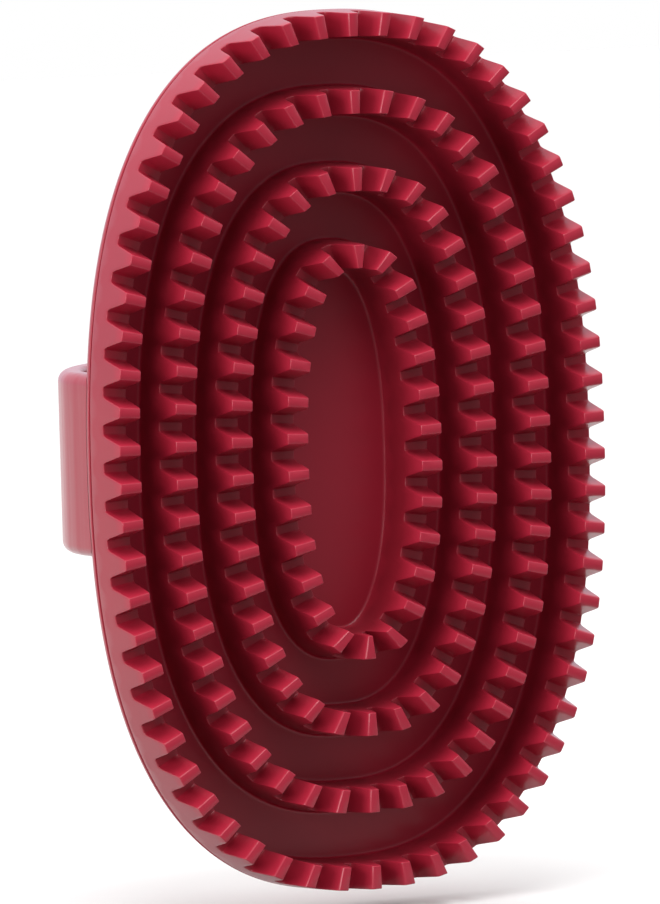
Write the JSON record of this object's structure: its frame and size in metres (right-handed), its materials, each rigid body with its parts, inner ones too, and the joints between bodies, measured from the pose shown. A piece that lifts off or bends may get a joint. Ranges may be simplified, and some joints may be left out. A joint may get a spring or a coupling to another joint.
{
  "type": "rubber curry brush",
  "caption": "Oval rubber grooming brush with concentric ribs of short teeth and a hand strap across its back that unbuttons and swings open.",
  "frame": {"origin": "middle of the oval, halfway between the tooth tips and the strap's crown", "axes": "+Z along the brush's long axis, -Y the way the teeth point, +Y towards the strap and the user's palm, +X towards the strap's hinge"},
  "size_m": [0.1063, 0.0518, 0.1648],
  "materials": {
    "pad_rubber": "glossy moulded red rubber",
    "plate_rubber": "glossy moulded red rubber, firmer grade",
    "strap_rubber": "glossy moulded red rubber",
    "stud_plastic": "moulded dark red plastic",
    "rod_steel": "plain drawn wire"
  },
  "bodies": {
    "brush": {"toothed_pad": "pad_rubber", "back_plate": "plate_rubber", "strap_rod": "rod_steel", "strap_stud_upper": "stud_plastic", "strap_stud_lower": "stud_plastic"},
    "strap": {"hand_strap": "strap_rubber"}
  },
  "joints": [
    {"name": "strap_swing", "type": "hinge", "parent": "brush", "child": "strap", "pos_m": [0.05008, -0.00465, 0], "axis": [0, 0, -1], "range_deg": [0, 110]}
  ]
}
